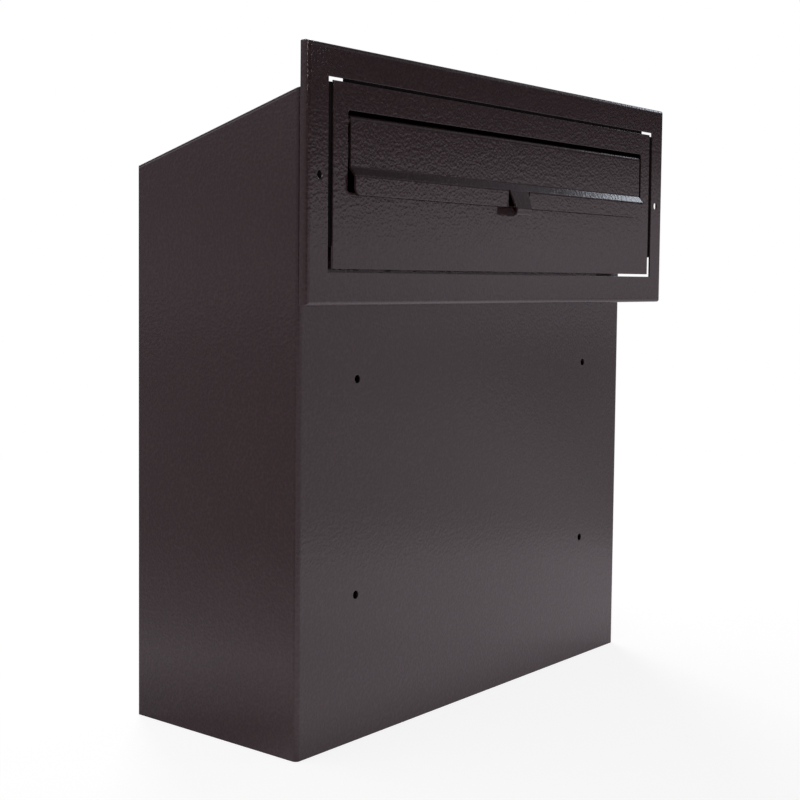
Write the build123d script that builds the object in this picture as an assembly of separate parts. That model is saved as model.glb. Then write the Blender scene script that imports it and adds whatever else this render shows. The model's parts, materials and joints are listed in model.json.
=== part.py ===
from build123d import *
import math
import os

# Through-fence letterbox of folded sheet steel, in millimetres.
# The box stands behind the fence boards and the bezel in front of them. A short duct joins the two.
# Frame: +Z up, -Y towards the street, origin at the middle of the box's footprint on its underside.

# ---- Driving dimensions ----
SHEET = 1.0                 # sheet thickness of box, duct, bezel and door
BEND = 1.2                  # radius on the worked side of a fold

BOX_WIDTH = 302.0           # 300 clear inside
BOX_DEPTH = 116.0
FRONT_HEIGHT = 327.0        # top of the roof at the fence side
REAR_HEIGHT = 294.2         # top of the roof at the garden side
CORNER_RADIUS = 2.5         # folded front corners of the box

STANDOFF = 20.5             # bezel face ahead of the box's front wall, over the fence board
BEZEL_WIDTH = 336.0
BEZEL_BOTTOM = 223.0
BEZEL_HEIGHT = 122.0
BEZEL_RETURN = 4.5          # depth of the bezel's folded rim
BEZEL_BEND = 2.5            # outer radius of its fold

PLATE_WIDTH = 300.0
PLATE_BOTTOM = 240.5
PLATE_TOP = 328.3
SIDE_GAP = 3.5              # open gap between slot plate and bezel, left and right
END_GAP = 1.5               # the same gap, above and below

SLOT_HALF_WIDTH = 139.7
SLOT_BOTTOM = 276.8
SLOT_TOP = 315.4

DUCT_HALF_WIDTH = 141.5     # inside
DUCT_FLOOR = 251.3
DUCT_ROOF = 318.0
CHEEK_FLANGE = 15.0         # front flange of a cheek, outwards behind plate and bezel
LUG_REACH = 7.5             # inward lug of a cheek, which carries a flap buffer
LUG_Z = (291.0, 302.0)

FLAP_SHEET = 1.2
FLAP_HALF_WIDTH = 137.5
FLAP_TOP = 313.7
LIP_BOTTOM = 275.7
LIP_TOP = 284.9
STEP_TOP = 288.8
LIP_STEP = 3.3              # how far the lip stands ahead of the flap
FLAP_PIN_R = 1.5
NOTCH_HALF_WIDTH = 10.3
TAB_HALF_WIDTH = 9.6

DOOR_HALF_OPENING = 138.0   # door frame, between its side webs
DOOR_OPENING_BOTTOM = 12.0
DOOR_OPENING_TOP = 282.0
DOOR_GAP = 2.0
REBATE_DEPTH = 16.0         # from the rear face in to the back of the rebate flange
REBATE_WIDTH = 9.0
BUFFER_HEIGHT = 1.2
BUFFER_GAP = 0.3            # between a buffer and what rests on it

HINGE_HEIGHTS = {"lower": 60.0, "upper": 234.0}
HINGE_LENGTH = 40.0
FRAME_LEAF_WIDTH = 12.0      # from the pin's axis
DOOR_LEAF_WIDTH = 20.0
LEAF_SHEET = 1.2
KNUCKLE_R = 3.0
HINGE_PIN_R = 1.75
RUNNING_CLEARANCE = 0.05
RIVET_R = 1.6
RIVET_HEAD_R = 3.2
RIVET_TAIL_R = 2.4
RIVET_HEAD = 1.2            # height of head and tail
RIVET_STEP = 12.0           # rivets above and below a hinge's middle

LOCK_X = -106.0
LOCK_Z = 147.0
BARREL_R = 8.0
PLUG_R = 5.0
CAM_REACH = 28.0

SCREW_HOLE_R = 2.1
BODY_SCREW_X = 107.5        # half the spacing across
BODY_SCREW_Z = (75.5, 185.5)
BEZEL_SCREW_X = 159.0

# ---- Derived places ----
HALF_WIDTH = BOX_WIDTH / 2
INSIDE_X = HALF_WIDTH - SHEET
FRONT_Y = -BOX_DEPTH / 2
REAR_Y = BOX_DEPTH / 2
INSIDE_FRONT_Y = FRONT_Y + SHEET
FACE_Y = FRONT_Y - STANDOFF
FLANGE_Y = FACE_Y + SHEET   # back of bezel and slot plate, where the duct's flanges lie
REBATE_Y = REAR_Y - REBATE_DEPTH + SHEET
ROOF_SLOPE = (FRONT_HEIGHT - REAR_HEIGHT) / BOX_DEPTH
ROOF_DROP = SHEET * math.hypot(1.0, ROOF_SLOPE)

FLAP_PIN_Y = FACE_Y + FLAP_PIN_R + RUNNING_CLEARANCE + FLAP_SHEET
FLAP_PIN_Z = FLAP_TOP - (FLAP_PIN_Y - FACE_Y)
FLAP_BUFFER_Y = FACE_Y + FLAP_SHEET + BUFFER_GAP
LUG_Y = (FLAP_BUFFER_Y + BUFFER_HEIGHT, FLAP_BUFFER_Y + BUFFER_HEIGHT + SHEET)
HINGE_X = DOOR_HALF_OPENING - DOOR_GAP / 2
HINGE_Y = REAR_Y + KNUCKLE_R
FRAME_RIVET_X = HINGE_X + 7.5
DOOR_RIVET_X = HINGE_X - 13.0


def roof_underside(y):
    """Height of the roof sheet's lower face at depth y."""
    return FRONT_HEIGHT - ROOF_SLOPE * (y - FRONT_Y) - ROOF_DROP


# ---- Shape helpers ----
def slab(x, y, z):
    """Box between the pairs x, y and z."""
    size = [pair[1] - pair[0] for pair in (x, y, z)]
    middle = [(pair[0] + pair[1]) / 2 for pair in (x, y, z)]
    return Pos(*middle) * Box(*size)


def rod_x(radius, x, y, z):
    return Pos((x[0] + x[1]) / 2, y, z) * Rot(0, 90, 0) * Cylinder(radius, x[1] - x[0])


def rod_y(radius, x, y, z):
    return Pos(x, (y[0] + y[1]) / 2, z) * Rot(90, 0, 0) * Cylinder(radius, y[1] - y[0])


def rod_z(radius, x, y, z):
    return Pos(x, y, (z[0] + z[1]) / 2) * Cylinder(radius, z[1] - z[0])


def folded(points, side, radii=BEND, thickness=SHEET):
    """Section of a folded sheet: a polyline with rounded corners, thickened to one side."""
    path = FilletPolyline(*points, radius=radii)
    return make_face(offset(path, amount=thickness, side=side))


def along_x(section, x):
    """Extrude a section drawn in (y, z) between two x values."""
    return extrude(Plane.YZ.offset(x[0]) * section, amount=x[1] - x[0])


def along_z(section, z):
    """Extrude a section drawn in (x, y) between two z values."""
    return extrude(Plane.XY.offset(z[0]) * section, amount=z[1] - z[0])


def mirrored(shape):
    """The same piece for the other side of the box."""
    return mirror(shape, about=Plane.YZ)


def edges_at(shape, axis, value, along):
    """Straight edges parallel to `along` that lie at `value` on `axis`."""
    return shape.edges().filter_by(along).filter_by_position(axis, value - 0.01, value + 0.01)


def rivet_places(x):
    """Rivet positions in a column at x: two for each hinge."""
    return [(x, middle + step) for middle in HINGE_HEIGHTS.values() for step in (-RIVET_STEP, RIVET_STEP)]


# ---- Box ----
def body_shell():
    """Left, front and right walls folded from one sheet, with the duct window and four screw holes."""
    rear_clear = REAR_Y + SHEET
    outer = slab((-HALF_WIDTH, HALF_WIDTH), (FRONT_Y, REAR_Y), (0, FRONT_HEIGHT))
    outer = fillet(edges_at(outer, Axis.Y, FRONT_Y, Axis.Z), CORNER_RADIUS)
    inner = slab((-INSIDE_X, INSIDE_X), (INSIDE_FRONT_Y, rear_clear), (-SHEET, FRONT_HEIGHT + SHEET))
    inner = fillet(edges_at(inner, Axis.Y, INSIDE_FRONT_Y, Axis.Z), CORNER_RADIUS - SHEET)
    over_roof = Polyline(
        (FRONT_Y - SHEET, roof_underside(FRONT_Y - SHEET)),
        (rear_clear, roof_underside(rear_clear)),
        (rear_clear, FRONT_HEIGHT + SHEET),
        (FRONT_Y - SHEET, FRONT_HEIGHT + SHEET),
        close=True,
    )
    window_half = DUCT_HALF_WIDTH + SHEET + 0.2
    window = slab((-window_half, window_half), (FRONT_Y - 1, INSIDE_FRONT_Y + 1),
                  (DUCT_FLOOR - BEND - 0.1, DUCT_ROOF + 0.2))
    shell = outer - inner - window
    shell -= along_x(make_face(over_roof), (-HALF_WIDTH - 1, HALF_WIDTH + 1))
    for x in (-BODY_SCREW_X, BODY_SCREW_X):
        for z in BODY_SCREW_Z:
            shell -= rod_y(SCREW_HOLE_R, x, (FRONT_Y - 1, INSIDE_FRONT_Y + 1), z)
    return shell


def floor_pan():
    """Floor with three upturned edges and drain holes."""
    upstand = 12.0
    drain_r = 3.0
    drain_x = (-110.0, -55.0, 55.0, 110.0)
    drain_y = (-35.0, 25.0)
    tray = slab((-INSIDE_X, INSIDE_X), (INSIDE_FRONT_Y, REAR_Y), (0, upstand))
    tray -= slab((-INSIDE_X + SHEET, INSIDE_X - SHEET), (INSIDE_FRONT_Y + SHEET, REAR_Y + 1),
                 (SHEET, upstand + 1))
    # The folded front corners of the walls need the tray's corners rounded too.
    tray = fillet(edges_at(tray, Axis.Y, INSIDE_FRONT_Y, Axis.Z), CORNER_RADIUS - SHEET)
    # The upstands stop short of the door frame.
    tray -= slab((-INSIDE_X - 1, INSIDE_X + 1), (REAR_Y - REBATE_DEPTH - 1, REAR_Y + 1),
                 (SHEET, upstand + 1))
    for x in drain_x:
        for y in drain_y:
            tray -= rod_z(drain_r, x, y, (-1, SHEET + 1))
    return tray


def roof_panel():
    """Sloping roof on top of the walls, with downturned edges inside them."""
    fold_depth = 6.5
    top = Polyline(
        (FRONT_Y, FRONT_HEIGHT),
        (REAR_Y, REAR_HEIGHT),
        (REAR_Y, REAR_HEIGHT - ROOF_DROP),
        (FRONT_Y, FRONT_HEIGHT - ROOF_DROP),
        close=True,
    )
    panel = along_x(make_face(top), (-HALF_WIDTH, HALF_WIDTH))
    panel = fillet(edges_at(panel, Axis.Y, FRONT_Y, Axis.Z), CORNER_RADIUS)
    side_start = INSIDE_FRONT_Y + CORNER_RADIUS
    side_end = REAR_Y - REBATE_DEPTH - 1
    side = Polyline(
        (side_start, roof_underside(side_start)),
        (side_end, roof_underside(side_end)),
        (side_end, roof_underside(side_end) - fold_depth),
        (side_start, roof_underside(side_start) - fold_depth),
        close=True,
    )
    edge = along_x(make_face(side), (INSIDE_X - SHEET, INSIDE_X))
    front_top = roof_underside(INSIDE_FRONT_Y) - 0.01
    front_half = INSIDE_X - CORNER_RADIUS
    front = slab((-front_half, front_half), (INSIDE_FRONT_Y, INSIDE_FRONT_Y + SHEET),
                 (front_top - fold_depth, front_top + 0.2))
    front -= along_x(make_face(top), (-HALF_WIDTH, HALF_WIDTH))
    return panel + edge + mirrored(edge) + front


# ---- Door frame, welded into the open back of the box ----
def door_stile():
    """Right-hand upright of the door frame, a Z section."""
    top = roof_underside(REAR_Y)
    section = folded(
        [(INSIDE_X, REAR_Y), (DOOR_HALF_OPENING, REAR_Y), (DOOR_HALF_OPENING, REBATE_Y),
         (DOOR_HALF_OPENING - REBATE_WIDTH, REBATE_Y)], Side.LEFT)
    stile = along_z(section, (SHEET, top))
    # The rails' rebates run through, so the stile's own rebate stops between them.
    for z in ((0, DOOR_OPENING_BOTTOM + REBATE_WIDTH), (DOOR_OPENING_TOP - REBATE_WIDTH, top + 1)):
        stile -= slab((DOOR_HALF_OPENING - REBATE_WIDTH - 1, DOOR_HALF_OPENING), (0, REAR_Y + 1), z)
    return stile


def hinge_stile():
    """The right-hand stile, with holes for the rivets of the hinges' frame leaves."""
    stile = door_stile()
    for x, z in rivet_places(FRAME_RIVET_X):
        stile -= rod_y(RIVET_R, x, (REAR_Y - 2, REAR_Y + 1), z)
    return stile


def door_rail(outer_z, web_z, side):
    """Cross piece of the door frame between the stiles."""
    inward = math.copysign(REBATE_WIDTH, web_z - outer_z)
    section = folded(
        [(REAR_Y, outer_z), (REAR_Y, web_z), (REBATE_Y, web_z), (REBATE_Y, web_z + inward)], side)
    return along_x(section, (-DOOR_HALF_OPENING, DOOR_HALF_OPENING))


def door_buffers():
    """Four rubber pads on the rebate, under the door's corners."""
    pad_r = 3.5
    inset = 5.0
    from_end = 40.0
    pads = []
    for x in (-DOOR_HALF_OPENING + inset, DOOR_HALF_OPENING - inset):
        for z in (DOOR_OPENING_BOTTOM + from_end, DOOR_OPENING_TOP - from_end):
            pad = rod_y(pad_r, x, (REBATE_Y, REBATE_Y + BUFFER_HEIGHT), z)
            pads.append(fillet(pad.edges().group_by(Axis.Y)[-1], 0.4))
    return Compound(pads)


# ---- Duct through the fence board ----
def duct_cheek():
    """Right-hand side of the duct. Its front flange backs the slot plate and the bezel."""
    flange_top = 327.5
    rear_flange = 5.5
    outer = DUCT_HALF_WIDTH + CHEEK_FLANGE
    flange_y = (FLANGE_Y, FLANGE_Y + SHEET)
    section = folded(
        [(outer, FLANGE_Y), (DUCT_HALF_WIDTH, FLANGE_Y), (DUCT_HALF_WIDTH, INSIDE_FRONT_Y + SHEET),
         (DUCT_HALF_WIDTH + rear_flange, INSIDE_FRONT_Y + SHEET)],
        Side.RIGHT)
    cheek = along_z(section, (DUCT_FLOOR, DUCT_ROOF))
    cheek += slab((DUCT_HALF_WIDTH + BEND, outer), flange_y, (DUCT_ROOF - 0.1, flange_top))
    # A lug folded inwards carries the buffer that stops the flap.
    cheek += slab((DUCT_HALF_WIDTH - LUG_REACH, DUCT_HALF_WIDTH + 0.1), LUG_Y, LUG_Z)
    return cheek - rod_x(FLAP_PIN_R, (DUCT_HALF_WIDTH - 1, DUCT_HALF_WIDTH + SHEET), FLAP_PIN_Y, FLAP_PIN_Z)


def duct_top():
    """Top of the duct, with a tall front flange behind the top gap and the bezel's upper border."""
    flange_top = 341.0
    lap = 4.0
    inside = DUCT_ROOF - SHEET
    section = folded(
        [(FLANGE_Y, flange_top), (FLANGE_Y, inside), (INSIDE_FRONT_Y + lap, inside)], Side.LEFT)
    return along_x(section, (-DUCT_HALF_WIDTH, DUCT_HALF_WIDTH))


def duct_floor():
    """Floor of the duct, turned up behind the slot plate and down inside the box."""
    upstand = 10.5
    apron = 10.0
    section = folded(
        [(FLANGE_Y, DUCT_FLOOR + upstand), (FLANGE_Y, DUCT_FLOOR), (INSIDE_FRONT_Y, DUCT_FLOOR),
         (INSIDE_FRONT_Y, DUCT_FLOOR - apron)], Side.LEFT)
    return along_x(section, (-DUCT_HALF_WIDTH, DUCT_HALF_WIDTH))


# ---- Street side ----
def bezel_frame():
    """Cover frame with a shallow folded rim, an opening round the slot plate and two screw holes."""
    half = BEZEL_WIDTH / 2
    top = BEZEL_BOTTOM + BEZEL_HEIGHT
    rim_y = FACE_Y + BEZEL_RETURN
    pan = slab((-half, half), (FACE_Y, rim_y), (BEZEL_BOTTOM, top))
    pan = fillet(pan.edges().group_by(Axis.Y)[0], BEZEL_BEND)
    corner_r = 0.6
    pan = fillet(edges_at(pan, Axis.Y, (FACE_Y + BEZEL_BEND + rim_y) / 2, Axis.Y), corner_r)
    hollow = slab((-half + SHEET, half - SHEET), (FACE_Y + SHEET, rim_y + 1),
                  (BEZEL_BOTTOM + SHEET, top - SHEET))
    pan -= fillet(hollow.edges().group_by(Axis.Y)[0], BEZEL_BEND - SHEET)
    opening_half = PLATE_WIDTH / 2 + SIDE_GAP
    pan -= slab((-opening_half, opening_half), (FACE_Y - 1, FACE_Y + SHEET + 1),
                (PLATE_BOTTOM - END_GAP, PLATE_TOP + END_GAP))
    for x in (-BEZEL_SCREW_X, BEZEL_SCREW_X):
        pan -= rod_y(SCREW_HOLE_R, x, (FACE_Y - 1, FLANGE_Y + 1), BEZEL_BOTTOM + BEZEL_HEIGHT / 2)
    return pan


def slot_plate():
    """Plate in the bezel's opening, with the letter slot."""
    half = PLATE_WIDTH / 2
    corner_r = 1.5
    worn_edge = 0.3
    plate = slab((-half, half), (FACE_Y, FLANGE_Y), (PLATE_BOTTOM, PLATE_TOP))
    plate = fillet(plate.edges().group_by(Axis.Y)[0], worn_edge)
    slot = slab((-SLOT_HALF_WIDTH, SLOT_HALF_WIDTH), (FACE_Y - 1, FLANGE_Y + 1),
                (SLOT_BOTTOM, SLOT_TOP))
    slot = fillet(slot.edges().filter_by(Axis.Y), corner_r)
    return plate - slot


def flap_outline():
    """Front view of the flap: rounded lower corners and a notch for the finger tab."""
    corner_r = 4.0
    sheet = Pos(0, (LIP_BOTTOM + FLAP_TOP) / 2) * Rectangle(2 * FLAP_HALF_WIDTH, FLAP_TOP - LIP_BOTTOM)
    sheet = fillet(sheet.vertices().group_by(Axis.Y)[0], corner_r)
    notch_top = LIP_TOP
    notch = Pos(0, (LIP_BOTTOM + notch_top) / 2) * Rectangle(2 * NOTCH_HALF_WIDTH, notch_top - LIP_BOTTOM)
    return sheet - notch


def finger_tab(lip_y):
    """Tongue that leans out of the notch and ends in an open fold under it, narrower towards its end."""
    lean = 3.6
    crease_z = 275.2
    fold_z = 269.2
    taper = 2.6
    hook = 1.5                  # how far the fold's open end stands behind the lip's face
    # It starts on the step, so that it is one sheet with it.
    root = 0.4
    root_z = LIP_TOP + root * (STEP_TOP - LIP_TOP)
    section = folded(
        [(lip_y + root * LIP_STEP, root_z), (lip_y, LIP_TOP), (lip_y - lean, crease_z),
         (lip_y - lean, fold_z), (lip_y + hook, crease_z)],
        Side.LEFT, radii=[1.0, 1.0, 1.3], thickness=FLAP_SHEET)
    tongue = along_x(section, (-TAB_HALF_WIDTH, TAB_HALF_WIDTH))
    outline = Polyline(
        (-TAB_HALF_WIDTH, root_z + FLAP_SHEET),
        (TAB_HALF_WIDTH, root_z + FLAP_SHEET),
        (TAB_HALF_WIDTH - taper, crease_z),
        (TAB_HALF_WIDTH - taper, fold_z - FLAP_SHEET),
        (-TAB_HALF_WIDTH + taper, fold_z - FLAP_SHEET),
        (-TAB_HALF_WIDTH + taper, crease_z),
        close=True,
    )
    return tongue & extrude(Plane.XZ.offset(-lip_y - 2 * lean) * make_face(outline), amount=4 * lean)


def slot_flap():
    """Letter flap: knuckle at the top, a step to an outer lip, and a finger tab folded out of the lip."""
    lip_y = FACE_Y - LIP_STEP
    knuckle_r = FLAP_PIN_R + RUNNING_CLEARANCE + FLAP_SHEET
    sheet = folded(
        [(FACE_Y, FLAP_PIN_Z), (FACE_Y, STEP_TOP), (lip_y, LIP_TOP), (lip_y, LIP_BOTTOM)],
        Side.LEFT, radii=[1.0, 1.8], thickness=FLAP_SHEET)
    flap = along_x(sheet, (-FLAP_HALF_WIDTH, FLAP_HALF_WIDTH))
    depth = 2 * LIP_STEP + FLAP_SHEET + 2 * knuckle_r
    flap &= extrude(Plane.XZ.offset(-FACE_Y - depth / 2) * flap_outline(), amount=depth)
    flap += finger_tab(lip_y)
    flap += rod_x(knuckle_r, (-FLAP_HALF_WIDTH, FLAP_HALF_WIDTH), FLAP_PIN_Y, FLAP_PIN_Z)
    flap -= rod_x(FLAP_PIN_R + RUNNING_CLEARANCE, (-FLAP_HALF_WIDTH - 1, FLAP_HALF_WIDTH + 1),
                  FLAP_PIN_Y, FLAP_PIN_Z)
    return flap


def flap_hinge_pin():
    """Straight pin, tacked into the duct's cheeks at both ends."""
    end = DUCT_HALF_WIDTH + SHEET
    return rod_x(FLAP_PIN_R, (-end, end), FLAP_PIN_Y, FLAP_PIN_Z)


def flap_buffers():
    """A rubber pad on each duct lug, behind the flap's ends."""
    edge = 1.5
    pad_width = 4.0
    inner = DUCT_HALF_WIDTH - LUG_REACH + 0.5
    pad = slab((inner, inner + pad_width), (FLAP_BUFFER_Y, FLAP_BUFFER_Y + BUFFER_HEIGHT),
               (LUG_Z[0] + edge, LUG_Z[1] - edge))
    pad = fillet(pad.edges().group_by(Axis.Y)[0], 0.3)
    return Compound([pad, mirrored(pad)])


# ---- Rear door ----
def rear_door():
    """Door pan, closed flush with the back of the box."""
    half = DOOR_HALF_OPENING - DOOR_GAP
    z = (DOOR_OPENING_BOTTOM + DOOR_GAP, DOOR_OPENING_TOP - DOOR_GAP)
    inner_y = REBATE_Y + BUFFER_HEIGHT + BUFFER_GAP
    pan = slab((-half, half), (inner_y, REAR_Y), z)
    pan = fillet(pan.edges().group_by(Axis.Y)[-1], BEND)
    pan -= slab((-half + SHEET, half - SHEET), (inner_y - 1, REAR_Y - SHEET),
                (z[0] + SHEET, z[1] - SHEET))
    pan -= rod_y(BARREL_R, LOCK_X, (REAR_Y - 2, REAR_Y + 1), LOCK_Z)
    for x, z in rivet_places(DOOR_RIVET_X):
        pan -= rod_y(RIVET_R, x, (REAR_Y - 2, REAR_Y + 1), z)
    return pan


def hinge_leaf(middle, knuckles, other_knuckles, leaf_x, bore_r):
    """One leaf of a butt hinge: knuckles at the heights given, relief cuts for the other leaf's."""
    reach = KNUCKLE_R + 0.4
    leaf = slab(leaf_x, (REAR_Y, REAR_Y + LEAF_SHEET),
                (middle - HINGE_LENGTH / 2, middle + HINGE_LENGTH / 2))
    for z in other_knuckles:
        leaf -= slab((HINGE_X - reach, HINGE_X + reach), (REAR_Y - 1, REAR_Y + 2 * LEAF_SHEET),
                     (middle + z[0], middle + z[1]))
    for z in knuckles:
        leaf += rod_z(KNUCKLE_R, HINGE_X, HINGE_Y, (middle + z[0], middle + z[1]))
    return leaf - rod_z(bore_r, HINGE_X, HINGE_Y, (middle - HINGE_LENGTH, middle + HINGE_LENGTH))


def hinge_leaves(middle):
    """Frame leaf and door leaf of the hinge whose middle is at this height."""
    end = HINGE_LENGTH / 2
    inner = 6.4
    gap = 0.4
    outer_pair = [(-end, -inner - gap), (inner + gap, end)]
    frame_leaf = hinge_leaf(middle, outer_pair, [(-inner - gap, inner + gap)],
                            (HINGE_X, HINGE_X + FRAME_LEAF_WIDTH), HINGE_PIN_R)
    door_leaf = hinge_leaf(middle, [(-inner, inner)], [(-end - 1, -inner), (inner, end + 1)],
                           (HINGE_X - DOOR_LEAF_WIDTH, HINGE_X), HINGE_PIN_R + RUNNING_CLEARANCE)
    for x, z in rivet_places(FRAME_RIVET_X):
        frame_leaf -= rod_y(RIVET_R, x, (REAR_Y - 1, REAR_Y + 3), z)
    for x, z in rivet_places(DOOR_RIVET_X):
        door_leaf -= rod_y(RIVET_R, x, (REAR_Y - 1, REAR_Y + 3), z)
    return frame_leaf, door_leaf


def hinge_pins():
    """One headed pin for each door hinge."""
    head_r = 2.6
    head_height = 1.2
    tip = 1.0                   # stands out below the lowest knuckle
    pins = []
    for middle in HINGE_HEIGHTS.values():
        bottom = middle - HINGE_LENGTH / 2 - tip
        top = middle + HINGE_LENGTH / 2
        pin = rod_z(HINGE_PIN_R, HINGE_X, HINGE_Y, (bottom, top))
        head = rod_z(head_r, HINGE_X, HINGE_Y, (top, top + head_height))
        pins.append(pin + fillet(head.edges().group_by(Axis.Z)[-1], 0.5))
    return Compound(pins)


def rivets(x):
    """Four dome-head rivets through hinge leaf and sheet, in a column at x."""
    leaf_top = REAR_Y + LEAF_SHEET
    sheet_back = REAR_Y - SHEET
    pieces = []
    for rivet_x, z in rivet_places(x):
        head = rod_y(RIVET_HEAD_R, rivet_x, (leaf_top, leaf_top + RIVET_HEAD), z)
        head = fillet(head.edges().group_by(Axis.Y)[-1], 0.9)
        shank = rod_y(RIVET_R, rivet_x, (sheet_back - 0.5, leaf_top + 0.5), z)
        tail = rod_y(RIVET_TAIL_R, rivet_x, (sheet_back - RIVET_HEAD, sheet_back), z)
        pieces.append(head + shank + tail)
    return Compound(pieces)


# ---- Cam lock ----
BARREL_END_Y = REBATE_Y
PLUG_END_Y = BARREL_END_Y - 0.8
STOP_Y = PLUG_END_Y - 1.0
CAM_Y = STOP_Y - 2.0
WASHER_Y = CAM_Y - 1.0
DRIVE_SQUARE = 6.0
SCREW_SHANK_R = 1.6
HEAD_Y = REAR_Y + 3.0       # outer face of the barrel's head
PLUG_FACE_Y = HEAD_Y - 0.4
PLUG_RIM = 1.0              # how far the plug's face stands out round it
PLUG_RIM_Y = HEAD_Y - 1.5


def lock_barrel():
    """Housing with a round head outside the door and a stepped bore for the plug."""
    head_r = 11.0
    head = rod_y(head_r, LOCK_X, (REAR_Y, HEAD_Y), LOCK_Z)
    head = fillet(head.edges().group_by(Axis.Y)[-1], 1.2)
    barrel = head + rod_y(BARREL_R, LOCK_X, (BARREL_END_Y, REAR_Y + 1), LOCK_Z)
    barrel -= rod_y(PLUG_R + RUNNING_CLEARANCE, LOCK_X, (BARREL_END_Y - 1, HEAD_Y + 1), LOCK_Z)
    rim_bore = PLUG_R + PLUG_RIM + RUNNING_CLEARANCE
    return barrel - rod_y(rim_bore, LOCK_X, (PLUG_RIM_Y - 0.1, HEAD_Y + 1), LOCK_Z)


def lock_nut():
    """Hexagon nut that holds the barrel against the door's inner face."""
    across_corners = 23.0
    thickness = 4.0
    nut_y = REAR_Y - SHEET
    hexagon = Pos(LOCK_X, LOCK_Z) * RegularPolygon(across_corners / 2, 6)
    nut = extrude(Plane.XZ.offset(-nut_y) * hexagon, amount=thickness)
    return nut - rod_y(BARREL_R, LOCK_X, (nut_y - thickness - 1, nut_y + 1), LOCK_Z)


def square_drive(y):
    """Square stub on the plug that turns the stop washer and the cam."""
    half = DRIVE_SQUARE / 2
    return slab((LOCK_X - half, LOCK_X + half), y, (LOCK_Z - half, LOCK_Z + half))


def lock_plug():
    """Turning core with a key slot in its face and a square drive at its inner end."""
    key_half = 0.7
    key_depth = 6.0
    key_z = (LOCK_Z - 3.6, LOCK_Z + 3.2)
    screw_bore = 9.0
    plug = rod_y(PLUG_R, LOCK_X, (PLUG_END_Y, PLUG_FACE_Y), LOCK_Z)
    plug += rod_y(PLUG_R + PLUG_RIM, LOCK_X, (PLUG_RIM_Y, PLUG_FACE_Y), LOCK_Z)
    plug += square_drive((CAM_Y, PLUG_END_Y + 0.1))
    plug -= slab((LOCK_X - key_half, LOCK_X + key_half), (PLUG_FACE_Y - key_depth, PLUG_FACE_Y + 1), key_z)
    return plug - rod_y(SCREW_SHANK_R, LOCK_X, (CAM_Y - 1, CAM_Y + screw_bore), LOCK_Z)


def stop_washer():
    """Washer whose ear limits the plug to a quarter turn."""
    washer_r = 7.5
    ear_reach = 10.5
    ear_half = 2.5
    washer = rod_y(washer_r, LOCK_X, (STOP_Y, PLUG_END_Y), LOCK_Z)
    washer += slab((LOCK_X, LOCK_X + ear_reach), (STOP_Y, PLUG_END_Y),
                   (LOCK_Z - ear_half, LOCK_Z + ear_half))
    return washer - square_drive((STOP_Y - 1, PLUG_END_Y + 1))


def lock_cam():
    """Flat arm. It hangs down when unlocked and reaches behind the stile when locked."""
    half = 7.0
    tip_half = 5.0
    profile = Polyline(
        (LOCK_X - half, LOCK_Z + half),
        (LOCK_X - half, LOCK_Z - half),
        (LOCK_X - tip_half, LOCK_Z - CAM_REACH),
        (LOCK_X + tip_half, LOCK_Z - CAM_REACH),
        (LOCK_X + half, LOCK_Z - half),
        (LOCK_X + half, LOCK_Z + half),
        close=True,
    )
    outline = make_face(profile)
    outline = fillet(outline.vertices(), 2.5)
    cam = extrude(Plane.XZ.offset(-STOP_Y) * outline, amount=STOP_Y - CAM_Y)
    return cam - square_drive((CAM_Y - 1, STOP_Y + 1))


def cam_washer():
    washer = rod_y(5.5, LOCK_X, (WASHER_Y, CAM_Y), LOCK_Z)
    return washer - rod_y(SCREW_SHANK_R, LOCK_X, (WASHER_Y - 1, CAM_Y + 1), LOCK_Z)


def cam_screw():
    """Cross-head screw that clamps the cam on the plug."""
    head_r = 3.6
    head_height = 2.4
    shank_end = 8.0
    slot = (0.9, 4.0)           # width and length of each bar of the cross
    slot_y = (WASHER_Y - head_height - 0.6, WASHER_Y - head_height / 2)
    head = rod_y(head_r, LOCK_X, (WASHER_Y - head_height, WASHER_Y), LOCK_Z)
    head = fillet(head.edges().group_by(Axis.Y)[0], 1.2)
    for width, height in (slot, slot[::-1]):
        head -= slab((LOCK_X - width / 2, LOCK_X + width / 2), slot_y,
                     (LOCK_Z - height / 2, LOCK_Z + height / 2))
    return head + rod_y(SCREW_SHANK_R, LOCK_X, (WASHER_Y - 0.5, CAM_Y + shank_end), LOCK_Z)


# ---- Assembly ----
right_cheek = duct_cheek()
parts = {
    "body_shell": body_shell(),
    "floor_pan": floor_pan(),
    "roof_panel": roof_panel(),
    "door_stile_left": mirrored(door_stile()),
    "door_stile_right": hinge_stile(),
    "door_rail_bottom": door_rail(SHEET, DOOR_OPENING_BOTTOM, Side.LEFT),
    "door_rail_top": door_rail(roof_underside(REAR_Y), DOOR_OPENING_TOP, Side.RIGHT),
    "door_buffers": door_buffers(),
    "duct_cheek_left": mirrored(right_cheek),
    "duct_cheek_right": right_cheek,
    "duct_top": duct_top(),
    "duct_floor": duct_floor(),
    "bezel_frame": bezel_frame(),
    "slot_plate": slot_plate(),
    "slot_flap": slot_flap(),
    "flap_hinge_pin": flap_hinge_pin(),
    "flap_buffers": flap_buffers(),
    "rear_door": rear_door(),
    "hinge_pins": hinge_pins(),
    "frame_rivets": rivets(FRAME_RIVET_X),
    "door_rivets": rivets(DOOR_RIVET_X),
    "lock_barrel": lock_barrel(),
    "lock_nut": lock_nut(),
    "lock_plug": lock_plug(),
    "stop_washer": stop_washer(),
    "lock_cam": lock_cam(),
    "cam_washer": cam_washer(),
    "cam_screw": cam_screw(),
}
for place, middle in HINGE_HEIGHTS.items():
    frame_leaf, door_leaf = hinge_leaves(middle)
    parts[f"hinge_frame_leaf_{place}"] = frame_leaf
    parts[f"hinge_door_leaf_{place}"] = door_leaf

os.makedirs("parts", exist_ok=True)
for name, shape in parts.items():
    export_step(shape, f"parts/{name}.step")
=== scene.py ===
import json
import math

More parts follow.
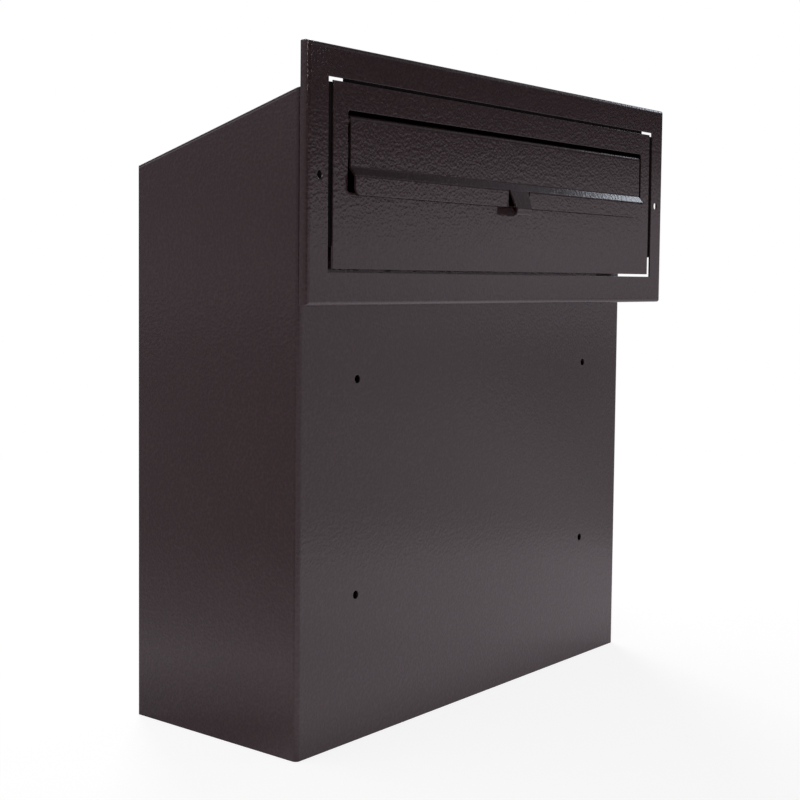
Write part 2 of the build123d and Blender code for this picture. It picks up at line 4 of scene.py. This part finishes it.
import bmesh
import bpy
from mathutils import Matrix, Vector


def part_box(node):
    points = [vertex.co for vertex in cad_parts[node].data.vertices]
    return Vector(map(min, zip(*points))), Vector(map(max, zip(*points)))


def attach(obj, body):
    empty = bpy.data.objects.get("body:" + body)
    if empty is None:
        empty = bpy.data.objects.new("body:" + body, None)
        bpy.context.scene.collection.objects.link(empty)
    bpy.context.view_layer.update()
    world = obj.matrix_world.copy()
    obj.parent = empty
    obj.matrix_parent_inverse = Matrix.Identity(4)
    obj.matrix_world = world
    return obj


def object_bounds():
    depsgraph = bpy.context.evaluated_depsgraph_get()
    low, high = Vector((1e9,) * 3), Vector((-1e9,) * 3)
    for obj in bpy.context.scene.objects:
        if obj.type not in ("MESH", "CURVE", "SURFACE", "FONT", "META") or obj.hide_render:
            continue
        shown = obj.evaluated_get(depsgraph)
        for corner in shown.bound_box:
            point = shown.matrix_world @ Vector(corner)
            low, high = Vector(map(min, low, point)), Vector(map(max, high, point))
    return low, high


# Looks, light and camera of the through-fence letterbox, in metres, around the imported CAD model.
# The CAD nodes keep their own meshes. What is added here is their paint, metal and rubber, and the
# small pieces that the solids leave out: thread, key wafers and spot welds.

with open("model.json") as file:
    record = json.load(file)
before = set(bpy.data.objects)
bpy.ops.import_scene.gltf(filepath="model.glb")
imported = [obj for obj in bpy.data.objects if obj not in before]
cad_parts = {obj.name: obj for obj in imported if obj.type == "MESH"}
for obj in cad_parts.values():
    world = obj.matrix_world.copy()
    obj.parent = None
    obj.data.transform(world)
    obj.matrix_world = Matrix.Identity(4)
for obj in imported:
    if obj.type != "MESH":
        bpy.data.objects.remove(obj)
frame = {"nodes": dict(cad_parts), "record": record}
CAD_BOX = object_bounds()
MM = 0.001


# ---- Node helpers ----
def add(tree, kind, inputs=None, **settings):
    """New shader node. `inputs` maps socket names or numbers to values or to other nodes' outputs."""
    node = tree.nodes.new(kind)
    for key, value in settings.items():
        setattr(node, key, value)
    for socket, value in (inputs or {}).items():
        if isinstance(value, bpy.types.NodeSocket):
            tree.links.new(value, node.inputs[socket])
        else:
            node.inputs[socket].default_value = value
    return node


def connect(tree, shader, **outputs):
    """Link outputs to the shader's sockets, which are named with underscores for spaces."""
    for socket, output in outputs.items():
        tree.links.new(output, shader.inputs[socket.replace("_", " ")])


def math_node(tree, operation, first, second):
    return add(tree, "ShaderNodeMath", {0: first, 1: second}, operation=operation).outputs[0]


def weighted_sum(tree, *terms):
    """Sum of (value, weight) terms."""
    total, *others = [math_node(tree, "MULTIPLY", value, weight) for value, weight in terms]
    for term in others:
        total = math_node(tree, "ADD", total, term)
    return total


def smooth_step(tree, value, start, end):
    """0 before `start`, 1 past `end`, eased in between."""
    return add(tree, "ShaderNodeMapRange", {"Value": value, "From Min": start, "From Max": end},
               interpolation_type="SMOOTHSTEP").outputs["Result"]


def ramp(tree, factor, stops):
    """Colour ramp through (position, (r, g, b)) stops."""
    node = add(tree, "ShaderNodeValToRGB", {"Fac": factor})
    elements = node.color_ramp.elements
    while len(elements) < len(stops):
        elements.new(0.5)
    for element, (position, colour) in zip(elements, stops):
        element.position = position
        element.color = (*colour, 1.0)
    return node.outputs["Color"]


def grey(value):
    return (value, value, value)


def mix_colour(tree, factor, first, second, blend_type="MIX"):
    node = add(tree, "ShaderNodeMix", data_type="RGBA", blend_type=blend_type)
    for socket, value in ((0, factor), (6, first), (7, second)):
        if isinstance(value, bpy.types.NodeSocket):
            tree.links.new(value, node.inputs[socket])
        else:
            node.inputs[socket].default_value = value if socket == 0 else (*value, 1.0)
    return node.outputs[2]


def multiply_colour(tree, first, second):
    return mix_colour(tree, 1.0, first, second, "MULTIPLY")


def new_material(name, **constants):
    """Principled material. Constants go straight on the shader's own sockets."""
    material = bpy.data.materials.new(name)
    material.use_nodes = True
    tree = material.node_tree
    shader = tree.nodes["Principled BSDF"]
    for socket, value in constants.items():
        shader.inputs[socket.replace("_", " ")].default_value = value
    coords = add(tree, "ShaderNodeTexCoord").outputs["Object"]
    return material, tree, shader, coords


def bump(tree, height, depth, under=None):
    inputs = {"Height": height, "Distance": depth, "Strength": 1.0}
    if under is not None:
        inputs["Normal"] = under
    return add(tree, "ShaderNodeBump", inputs).outputs["Normal"]


def noise(tree, coords, scale, detail=2.0, roughness=0.5):
    """Noise with about `scale` grains per metre."""
    inputs = {"Vector": coords, "Scale": scale, "Detail": detail, "Roughness": roughness}
    return add(tree, "ShaderNodeTexNoise", inputs)


def stretch(tree, coords, scale, rotation=(0.0, 0.0, 0.0)):
    inputs = {"Vector": coords, "Rotation": rotation, "Scale": scale}
    return add(tree, "ShaderNodeMapping", inputs).outputs[0]


def rounded_normal(tree, radius):
    return add(tree, "ShaderNodeBevel", {"Radius": radius}, samples=4).outputs["Normal"]


def edge_mask(tree, radius, flat, turned):
    """0 on flat faces, 1 where the surface turns within `radius`.

    `flat` and `turned` are the cosines between the rounded and the true normal at the mask's ends.
    """
    true_normal = add(tree, "ShaderNodeNewGeometry").outputs["Normal"]
    cosine = add(tree, "ShaderNodeVectorMath", {0: rounded_normal(tree, radius), 1: true_normal},
                 operation="DOT_PRODUCT").outputs["Value"]
    return add(tree, "ShaderNodeMapRange",
               {"Value": cosine, "From Min": turned, "From Max": flat,
                "To Min": 1.0, "To Max": 0.0}).outputs["Result"]


# ---- Materials: every scale is in grains or cells per metre ----
def hammered_paint(name, body, fleck, relief=1.0):
    """Hammertone paint: rounded pools between soft ridges, mottled colour, glossy film on top."""
    pool_scale = 640.0
    grain_scale = 1500.0
    patch_scale = 26.0
    peel_scale = 480.0
    sparkle_scale = 1700.0
    sparkle_amount = 0.25
    warp_scale = 330.0
    warp_reach = 1.0 * MM
    # The next two set the lighter edges: partly paint worn thin, partly a painted highlight along the
    # edges.
    edge_radius = 0.5 * MM
    wear_and_highlight_radius = 0.7 * MM
    wear_and_highlight_amount = 0.8
    pool_depth = 0.14 * MM * relief
    film_depth = 0.05 * MM * relief
    material, tree, shader, coords = new_material(
        name, Coat_Weight=1.0, Coat_Roughness=0.09, Coat_IOR=1.5, Specular_IOR_Level=0.12)

    warp = noise(tree, coords, warp_scale).outputs["Color"]
    centred = add(tree, "ShaderNodeVectorMath", {0: warp, 1: grey(0.5)}, operation="SUBTRACT")
    shift = add(tree, "ShaderNodeVectorMath", {0: centred.outputs[0], "Scale": warp_reach},
                operation="SCALE")
    warped = add(tree, "ShaderNodeVectorMath", {0: coords, 1: shift.outputs[0]}, operation="ADD").outputs[0]
    pools = add(tree, "ShaderNodeTexVoronoi", {"Vector": warped, "Scale": pool_scale, "Smoothness": 0.5},
                feature="SMOOTH_F1").outputs["Distance"]
    grain = noise(tree, coords, scale=grain_scale, detail=2.0, roughness=0.55).outputs["Fac"]
    patches = noise(tree, coords, scale=patch_scale, detail=3.0, roughness=0.6).outputs["Fac"]
    orange_peel = noise(tree, coords, scale=peel_scale, detail=1.0).outputs["Fac"]

    rounded = rounded_normal(tree, edge_radius)
    height = weighted_sum(tree, (pools, 1.0), (grain, 0.30))
    film_height = weighted_sum(tree, (pools, 0.9), (grain, 0.5), (orange_peel, 0.7))

    tone = weighted_sum(tree, (pools, 0.75), (patches, 0.35))
    dark = tuple(0.8 * channel for channel in body)
    colour = ramp(tree, tone, [(0.22, dark), (0.50, body), (0.95, fleck)])
    cells = add(tree, "ShaderNodeTexVoronoi", {"Vector": coords, "Scale": sparkle_scale}, feature="F1")
    sparkle = ramp(tree, cells.outputs["Distance"], [(0.10, grey(1.0)), (0.22, grey(0.0))])
    bright = tuple(2.6 * channel for channel in fleck)
    colour = mix_colour(tree, math_node(tree, "MULTIPLY", sparkle, sparkle_amount), colour, bright)
    # Lighter colour along edges, mixed towards the fleck: partly wear, partly painted highlight.
    worn_and_highlit_edges = edge_mask(tree, wear_and_highlight_radius, flat=0.995, turned=0.86)
    wear_and_highlight = math_node(tree, "MULTIPLY", worn_and_highlit_edges, math_node(tree, "MULTIPLY", grain, wear_and_highlight_amount))
    connect(tree, shader,
            Base_Color=mix_colour(tree, wear_and_highlight, colour, fleck),
            Roughness=ramp(tree, grain, [(0.30, grey(0.38)), (0.70, grey(0.55))]),
            Normal=bump(tree, height, pool_depth, under=rounded),
            Coat_Normal=bump(tree, film_height, film_depth, under=rounded))
    return material


def painted_shade_duct(name):
    """Matt, nearly black duct coating, whose colour is painted shade: the dark seen through the gaps round
    the slot plate.
    """
    material, tree, shader, coords = new_material(name, Specular_IOR_Level=0.12)
    powder = noise(tree, coords, scale=1300.0, detail=3.0, roughness=0.6).outputs["Fac"]
    drift = noise(tree, coords, scale=60.0, detail=3.0, roughness=0.6).outputs["Fac"]
    # Both near-black colours are painted shade for the gaps round the slot plate.
    painted_shade_light = (0.0080, 0.0062, 0.0060)
    painted_shade_dark = (0.0030, 0.0026, 0.0026)
    connect(tree, shader,
            Base_Color=ramp(tree, drift, [(0.35, painted_shade_dark), (0.70, painted_shade_light)]),
            Roughness=ramp(tree, powder, [(0.3, grey(0.70)), (0.7, grey(0.92))]),
            Normal=bump(tree, powder, depth=0.04 * MM))
    return material


def zinc(name):
    """Zinc-plated steel: pale blue-grey, faint crystals, rolled grain and a little dulling."""
    crystal_contrast = 0.22
    material, tree, shader, coords = new_material(name, Metallic=1.0)
    rolled = stretch(tree, coords, scale=(1.0, 1.0, 14.0))
    grain = noise(tree, rolled, scale=300.0, detail=4.0, roughness=0.65).outputs["Fac"]
    crystals = add(tree, "ShaderNodeTexVoronoi", {"Vector": coords, "Scale": 240.0}, feature="F1")
    crystal_tone = add(tree, "ShaderNodeRGBToBW", {"Color": crystals.outputs["Color"]}).outputs[0]
    patches = noise(tree, coords, scale=60.0, detail=4.0, roughness=0.6).outputs["Fac"]
    base = ramp(tree, patches, [(0.3, (0.42, 0.43, 0.45)), (0.7, (0.66, 0.67, 0.68))])
    facets = ramp(tree, crystal_tone, [(0.2, grey(0.35)), (0.8, grey(0.85))])
    dulling = weighted_sum(tree, (grain, 0.5), (crystal_tone, 0.5))
    connect(tree, shader,
            Base_Color=mix_colour(tree, crystal_contrast, base, facets),
            Roughness=ramp(tree, dulling, [(0.25, grey(0.26)), (0.75, grey(0.48))]),
            Normal=bump(tree, grain, depth=0.03 * MM))
    return material


def chrome(name):
    """Polished chrome plate with hairline scratches and a few fingerprints' dulling."""
    material, tree, shader, coords = new_material(name, Metallic=1.0)
    hairlines = stretch(tree, coords, scale=(30.0, 1.0, 3.0), rotation=(0.3, 0.7, 0.2))
    scratches = noise(tree, hairlines, scale=160.0, detail=3.0, roughness=0.7).outputs["Fac"]
    smudge = noise(tree, coords, scale=140.0, detail=3.0, roughness=0.6).outputs["Fac"]
    connect(tree, shader,
            Base_Color=ramp(tree, smudge, [(0.3, (0.66, 0.66, 0.68)), (0.7, (0.80, 0.80, 0.81))]),
            Roughness=ramp(tree, smudge, [(0.35, grey(0.07)), (0.75, grey(0.20))]),
            Normal=bump(tree, scratches, depth=0.006 * MM))
    return material


def brass(name):
    """Turned brass: warm colour, tool lines across, a little tarnish."""
    material, tree, shader, coords = new_material(name, Metallic=1.0)
    turned = stretch(tree, coords, scale=(1.0, 22.0, 1.0))
    lines = noise(tree, turned, scale=260.0, detail=3.0, roughness=0.6).outputs["Fac"]
    tarnish = noise(tree, coords, scale=220.0, detail=4.0, roughness=0.65).outputs["Fac"]
    connect(tree, shader,
            Base_Color=ramp(tree, tarnish, [(0.3, (0.36, 0.22, 0.075)), (0.7, (0.72, 0.50, 0.20))]),
            Roughness=ramp(tree, tarnish, [(0.3, grey(0.42)), (0.7, grey(0.22))]),
            Normal=bump(tree, lines, depth=0.02 * MM))
    return material


def rubber(name):
    """Black moulded rubber: matt, faintly pitted, dusty on the crowns."""
    material, tree, shader, coords = new_material(name, Specular_IOR_Level=0.3)
    pits = noise(tree, coords, scale=1400.0, detail=3.0, roughness=0.6).outputs["Fac"]
    dust = noise(tree, coords, scale=210.0, detail=3.0, roughness=0.6).outputs["Fac"]
    connect(tree, shader,
            Base_Color=ramp(tree, dust, [(0.35, grey(0.010)), (0.75, (0.040, 0.038, 0.036))]),
            Roughness=ramp(tree, pits, [(0.3, grey(0.62)), (0.7, grey(0.88))]),
            Normal=bump(tree, pits, depth=0.04 * MM))
    return material


PAINT_BODY = (0.0310, 0.0158, 0.0162)
PAINT_FLECK = (0.046, 0.027, 0.027)
MATERIALS = {
    "hammered_paint": hammered_paint("hammered_paint", PAINT_BODY, PAINT_FLECK),
    "rivet_steel": hammered_paint("painted_rivets", PAINT_BODY, PAINT_FLECK, relief=0.5),
    # The duct's near-black colour is painted shade.
    "duct_primer": painted_shade_duct("duct_primer"),
    "zinc_steel": zinc("zinc_plated_steel"),
    "lock_chrome": chrome("polished_chrome"),
    "lock_brass": brass("turned_brass"),
    "rubber": rubber("black_rubber"),
}


def paint_cad_nodes():
    """Every carried-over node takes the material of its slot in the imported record."""
    for row in frame["record"]["subparts"]:
        node = frame["nodes"][row["node"]]
        if not node.material_slots:
            node.data.materials.append(None)
        for material_slot in node.material_slots:
            material_slot.material = MATERIALS[row["material_slot"]]


paint_cad_nodes()


# ---- Small pieces that the solids leave out ----
def finish_piece(name, mesh, body, slot):
    """Turn a bmesh into an object with its slot's material, riding on its body."""
    bmesh.ops.recalc_face_normals(mesh, faces=mesh.faces)
    data = bpy.data.meshes.new(name)
    mesh.to_mesh(data)
    mesh.free()
    data.materials.append(MATERIALS[slot])
    piece = bpy.data.objects.new(name, data)
    bpy.context.scene.collection.objects.link(piece)
    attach(piece, body)


def closed_piece(name, rings, body, slot):
    """Closed skin over rings of equally many points, each end shut by one face."""
    mesh = bmesh.new()
    loops = [[mesh.verts.new(point) for point in ring] for ring in rings]
    count = len(rings[0])
    for first, second in zip(loops, loops[1:]):
        for index in range(count):
            following = (index + 1) % count
            mesh.faces.new((first[index], first[following], second[following], second[index]))
    mesh.faces.new(list(reversed(loops[0])))
    mesh.faces.new(loops[-1])
    finish_piece(name, mesh, body, slot)


def middle(node, axis):
    low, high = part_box(node)
    return (low[axis] + high[axis]) / 2


def lock_thread():
    """Fine thread on the lock barrel, from its inner end to the nut."""
    crest = 8.35 * MM
    root = 7.9 * MM
    pitch = 1.0 * MM
    half_tooth = 0.42 * pitch
    end_clearance = 0.6 * MM
    steps = 36
    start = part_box("lock_barrel")[0][1] + end_clearance
    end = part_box("lock_nut")[0][1] - end_clearance
    centre_x = middle("lock_nut", 0)
    centre_z = middle("lock_nut", 2)
    rings = []
    for step in range(int(steps * (end - start) / pitch) + 1):
        angle = 2 * math.pi * step / steps
        depth = start + pitch * step / steps
        section = ((root, depth - half_tooth), (crest, depth), (root, depth + half_tooth))
        rings.append([(centre_x + radius * math.cos(angle), y, centre_z + radius * math.sin(angle))
                      for radius, y in section])
    closed_piece("lock_thread", rings, body="door", slot="lock_chrome")


def key_wafers():
    """Three brass wafers across the key slot, each with a rounded top at its own height."""
    half_width = 0.68 * MM
    thickness = 0.5 * MM
    spacing = 1.1 * MM
    recess = 0.5 * MM
    slot_half_height = 3.55 * MM
    heights = (2.3 * MM, 3.0 * MM, 2.0 * MM)
    crown_rise = 0.5 * half_width
    crown_steps = 6
    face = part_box("lock_plug")[1][1]
    centre_x = middle("lock_nut", 0)
    bottom = middle("lock_nut", 2) - slot_half_height
    for number, height in enumerate(heights, start=1):
        back = face - recess - spacing * number
        outline = [(centre_x - half_width, bottom), (centre_x + half_width, bottom)]
        for step in range(crown_steps + 1):
            angle = math.pi * step / crown_steps
            outline.append((centre_x + half_width * math.cos(angle),
                            bottom + height + crown_rise * math.sin(angle)))
        rings = [[(x, y, z) for x, z in outline] for y in (back, back + thickness)]
        closed_piece(f"key_wafer_{number}", rings, body="lock_core", slot="lock_brass")


def add_weld(mesh, place, across, outward):
    """One spot weld: a shallow dish with a raised rim, on the face that `outward` points away from."""
    centre_height = 0.05
    profile = ((1.5, 0.04), (1.9, 0.22), (2.3, 0.20), (2.8, -0.15))     # (radius, height) in mm
    sides = 20
    side = Vector(across)
    normal = Vector(outward)
    upright = normal.cross(side)
    centre = mesh.verts.new(Vector(place) + normal * centre_height * MM)
    loops = []
    for radius, height in profile:
        ring = []
        for step in range(sides):
            angle = 2 * math.pi * step / sides
            level = side * math.cos(angle) + upright * math.sin(angle)
            ring.append(mesh.verts.new(Vector(place) + (level * radius + normal * height) * MM))
        loops.append(ring)
    for step in range(sides):
        following = (step + 1) % sides
        mesh.faces.new((centre, loops[0][step], loops[0][following]))
        for inner, outer in zip(loops, loops[1:]):
            mesh.faces.new((inner[step], outer[step], outer[following], inner[following]))
    mesh.faces.new(list(reversed(loops[-1])))


def spot_welds():
    """Weld spots inside the box, on the floor's upstands and on the duct's apron."""
    sheet = 1.0 * MM
    spacing = 60.0 * MM
    side_spacing = 30.0 * MM
    upstand_height = 7.0 * MM
    apron_height = 4.5 * MM
    along_front = [number * spacing for number in range(-2, 3)]

    low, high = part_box("floor_pan")
    level = low[2] + upstand_height
    mesh = bmesh.new()
    for x in along_front:
        add_weld(mesh, (x, low[1] + sheet, level), (1, 0, 0), (0, 1, 0))
    for y in (-side_spacing, 0.0, side_spacing):
        add_weld(mesh, (low[0] + sheet, y, level), (0, 1, 0), (1, 0, 0))
        add_weld(mesh, (high[0] - sheet, y, level), (0, 1, 0), (-1, 0, 0))
    finish_piece("floor_spot_welds", mesh, body="box", slot="hammered_paint")

    low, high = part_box("duct_floor")
    mesh = bmesh.new()
    for x in along_front:
        add_weld(mesh, (x, high[1], low[2] + apron_height), (1, 0, 0), (0, 1, 0))
    # The duct's welds share its near-black painted shade.
    finish_piece("duct_spot_welds", mesh, body="box", slot="duct_primer")


lock_thread()
key_wafers()
spot_welds()


# ---- Stage, light and camera ----
# The camera sees an even white sweep. What lights the object and shows in its paint is a dimmer
# surround: a street side, the garden side opposite, and a darker stretch between the two.
STUDIO_TINT = (0.99, 0.905, 0.99)      # a faintly purple white balance
WHITE = (1.0, 1.0, 1.0, 1.0)


def side_of(tree, position, towards, start, end):
    """0 before `start` and 1 past `end`, measured along the level direction `towards`."""
    along = add(tree, "ShaderNodeVectorMath", {0: position, 1: towards}, operation="DOT_PRODUCT")
    return smooth_step(tree, along.outputs["Value"], start, end)


def floor_material(name):
    """Pale floor, evenly lit for the camera. What the paint mirrors is a pool of light round the box."""
    camera_glow = 0.86
    pool_reach = 2.0
    fade_start = 0.35
    fade_end = 1.1
    material = bpy.data.materials.new(name)
    material.use_nodes = True
    tree = material.node_tree
    tree.nodes.clear()
    coords = add(tree, "ShaderNodeTexCoord").outputs["Object"]
    mottle = noise(tree, coords, scale=6.0, detail=3.0).outputs["Fac"]
    matt = add(tree, "ShaderNodeBsdfDiffuse",
               {"Color": ramp(tree, mottle, [(0.3, grey(0.29)), (0.7, grey(0.31))])})

    away = add(tree, "ShaderNodeVectorMath", {0: coords}, operation="LENGTH").outputs["Value"]
    reach = math_node(tree, "DIVIDE", away, pool_reach)
    street_pool = ramp(tree, reach, [(0.22, grey(0.74)), (0.30, grey(0.46)), (1.0, grey(0.44))])
    garden_pool = ramp(tree, reach, [(0.09, grey(0.22)), (0.14, grey(0.50)), (0.19, grey(0.30)),
                                     (0.32, grey(0.12)), (1.0, grey(0.16))])
    past_corner = side_of(tree, coords, towards=(0.78, 1.0, 0.0), start=0.06, end=0.22)
    shade = mix_colour(tree, past_corner, grey(0.97), grey(0.52))
    behind = side_of(tree, coords, towards=(0.0, 1.0, 0.0), start=-0.12, end=0.0)
    pool = mix_colour(tree, behind, multiply_colour(tree, street_pool, shade), garden_pool)
    mirrored = add(tree, "ShaderNodeEmission", {"Color": multiply_colour(tree, pool, STUDIO_TINT)})

    even = add(tree, "ShaderNodeEmission", {"Color": WHITE, "Strength": camera_glow})
    white = add(tree, "ShaderNodeEmission", {"Color": WHITE, "Strength": 1.0})
    seen = add(tree, "ShaderNodeLightPath").outputs["Is Camera Ray"]
    far = math_node(tree, "MULTIPLY", smooth_step(tree, away, fade_start, fade_end), seen)
    glow = add(tree, "ShaderNodeMixShader", {0: seen, 1: mirrored.outputs[0], 2: even.outputs[0]})
    lit = add(tree, "ShaderNodeAddShader", {0: matt.outputs[0], 1: glow.outputs[0]})
    mixed = add(tree, "ShaderNodeMixShader", {0: far, 1: lit.outputs[0], 2: white.outputs[0]})
    add(tree, "ShaderNodeOutputMaterial", {"Surface": mixed.outputs[0]})
    return material


def floor():
    """Large round pale floor just under the box, which fades into the white backdrop far out."""
    radius = 6.0
    clearance = 0.2 * MM
    mesh = bmesh.new()
    bmesh.ops.create_circle(mesh, cap_ends=True, segments=96, radius=radius)
    data = bpy.data.meshes.new("floor")
    mesh.to_mesh(data)
    mesh.free()
    data.materials.append(floor_material("pale_floor"))
    disc = bpy.data.objects.new("floor", data)
    disc.location.z = CAD_BOX[0][2] - clearance
    bpy.context.scene.collection.objects.link(disc)


def surround():
    """World: white for the camera, and for everything else bands of light by height and side."""
    world = bpy.data.worlds.new("studio")
    bpy.context.scene.world = world
    world.use_nodes = True
    tree = world.node_tree
    tree.nodes.clear()
    direction = add(tree, "ShaderNodeTexCoord").outputs["Generated"]
    rise = add(tree, "ShaderNodeSeparateXYZ", {0: direction}).outputs["Z"]
    ceiling = grey(0.08)
    street = ramp(tree, rise, [(0.0, grey(0.66)), (0.04, grey(0.80)),
                               (0.09, grey(0.12)), (0.11, grey(0.01)), (0.28, grey(0.01)),
                               (0.34, grey(0.22)), (0.56, grey(0.22)), (0.64, ceiling), (1.0, ceiling)])
    garden = ramp(tree, rise, [(0.0, grey(0.42)), (0.06, grey(0.27)),
                               (0.12, grey(0.32)), (0.20, grey(0.32)),
                               (0.30, grey(1.7)), (0.58, grey(1.7)), (0.66, ceiling), (1.0, ceiling)])
    between = ramp(tree, rise, [(0.0, grey(0.20)), (0.10, grey(0.05)), (0.30, grey(0.05)),
                                (0.34, grey(0.25)), (0.58, grey(0.25)), (0.66, ceiling)])
    past_corner = side_of(tree, direction, towards=(0.60, 1.0, 0.0), start=-0.05, end=0.06)
    street = multiply_colour(tree, street, mix_colour(tree, past_corner, grey(1.0), grey(0.66)))
    diagonal = (0.707, -0.707, 0.0)
    past_garden = side_of(tree, direction, towards=diagonal, start=-0.5, end=-0.2)
    past_between = side_of(tree, direction, towards=diagonal, start=0.2, end=0.5)
    sky = mix_colour(tree, past_between, mix_colour(tree, past_garden, garden, between), street)

    lighting = add(tree, "ShaderNodeBackground", {"Color": multiply_colour(tree, sky, STUDIO_TINT)})
    backdrop = add(tree, "ShaderNodeBackground", {"Color": WHITE, "Strength": 1.0})
    seen = add(tree, "ShaderNodeLightPath").outputs["Is Camera Ray"]
    mixed = add(tree, "ShaderNodeMixShader", {0: seen, 1: lighting.outputs[0], 2: backdrop.outputs[0]})
    add(tree, "ShaderNodeOutputWorld", {"Surface": mixed.outputs[0]})


def area_light(name, place, size, power, colour):
    """Softbox aimed at the object, a little above its middle."""
    aim = Vector((0.0, 0.0, 0.2))
    light = bpy.data.lights.new(name, "AREA")
    light.shape = "RECTANGLE"
    light.size, light.size_y = size
    light.energy = power
    light.color = colour
    lamp = bpy.data.objects.new(name, light)
    lamp.location = place
    lamp.rotation_euler = (aim - Vector(place)).to_track_quat("-Z", "Y").to_euler()
    bpy.context.scene.collection.objects.link(lamp)


def studio_lights():
    """A cool window light, a warm light by the camera, a fill behind and a small one for glints."""
    area_light("window_box", place=(2.6, -0.10, 1.38), size=(0.9, 0.65), power=5.0,
               colour=(0.82, 0.90, 1.0))
    area_light("camera_box", place=(-2.0, -1.9, 0.9), size=(0.25, 0.25), power=2.5,
               colour=(1.0, 0.85, 0.82))
    area_light("garden_box", place=(1.6, 2.2, 1.6), size=(1.2, 1.2), power=40.0,
               colour=(1.0, 1.0, 1.0))
    area_light("sparkle_box", place=(1.55, -2.05, 0.95), size=(0.25, 0.25), power=1.6,
               colour=(0.85, 0.90, 1.0))


def camera():
    """The photograph's viewpoint: from the left of the street side, level with the slot plate's foot."""
    place = Vector((-0.641, -0.516, 0.2363))
    forward = Vector((0.7754, 0.6288, -0.0577)).normalized()
    upward = Vector((0.0384, 0.0443, 0.9983))
    right = forward.cross(upward).normalized()
    up = right.cross(forward)
    lens = bpy.data.cameras.new("camera")
    lens.sensor_width = 36.0
    lens.lens = 62.9
    lens.shift_x = 0.0041
    lens.shift_y = -0.051
    lens.clip_start = 0.01
    lens.clip_end = 50.0
    viewer = bpy.data.objects.new("camera", lens)
    turn = Matrix((right, up, -forward)).transposed()
    viewer.matrix_world = Matrix.Translation(place) @ turn.to_4x4()
    bpy.context.scene.collection.objects.link(viewer)
    bpy.context.scene.camera = viewer


floor()
surround()
studio_lights()
camera()
bpy.context.scene.view_settings.view_transform = "Standard"
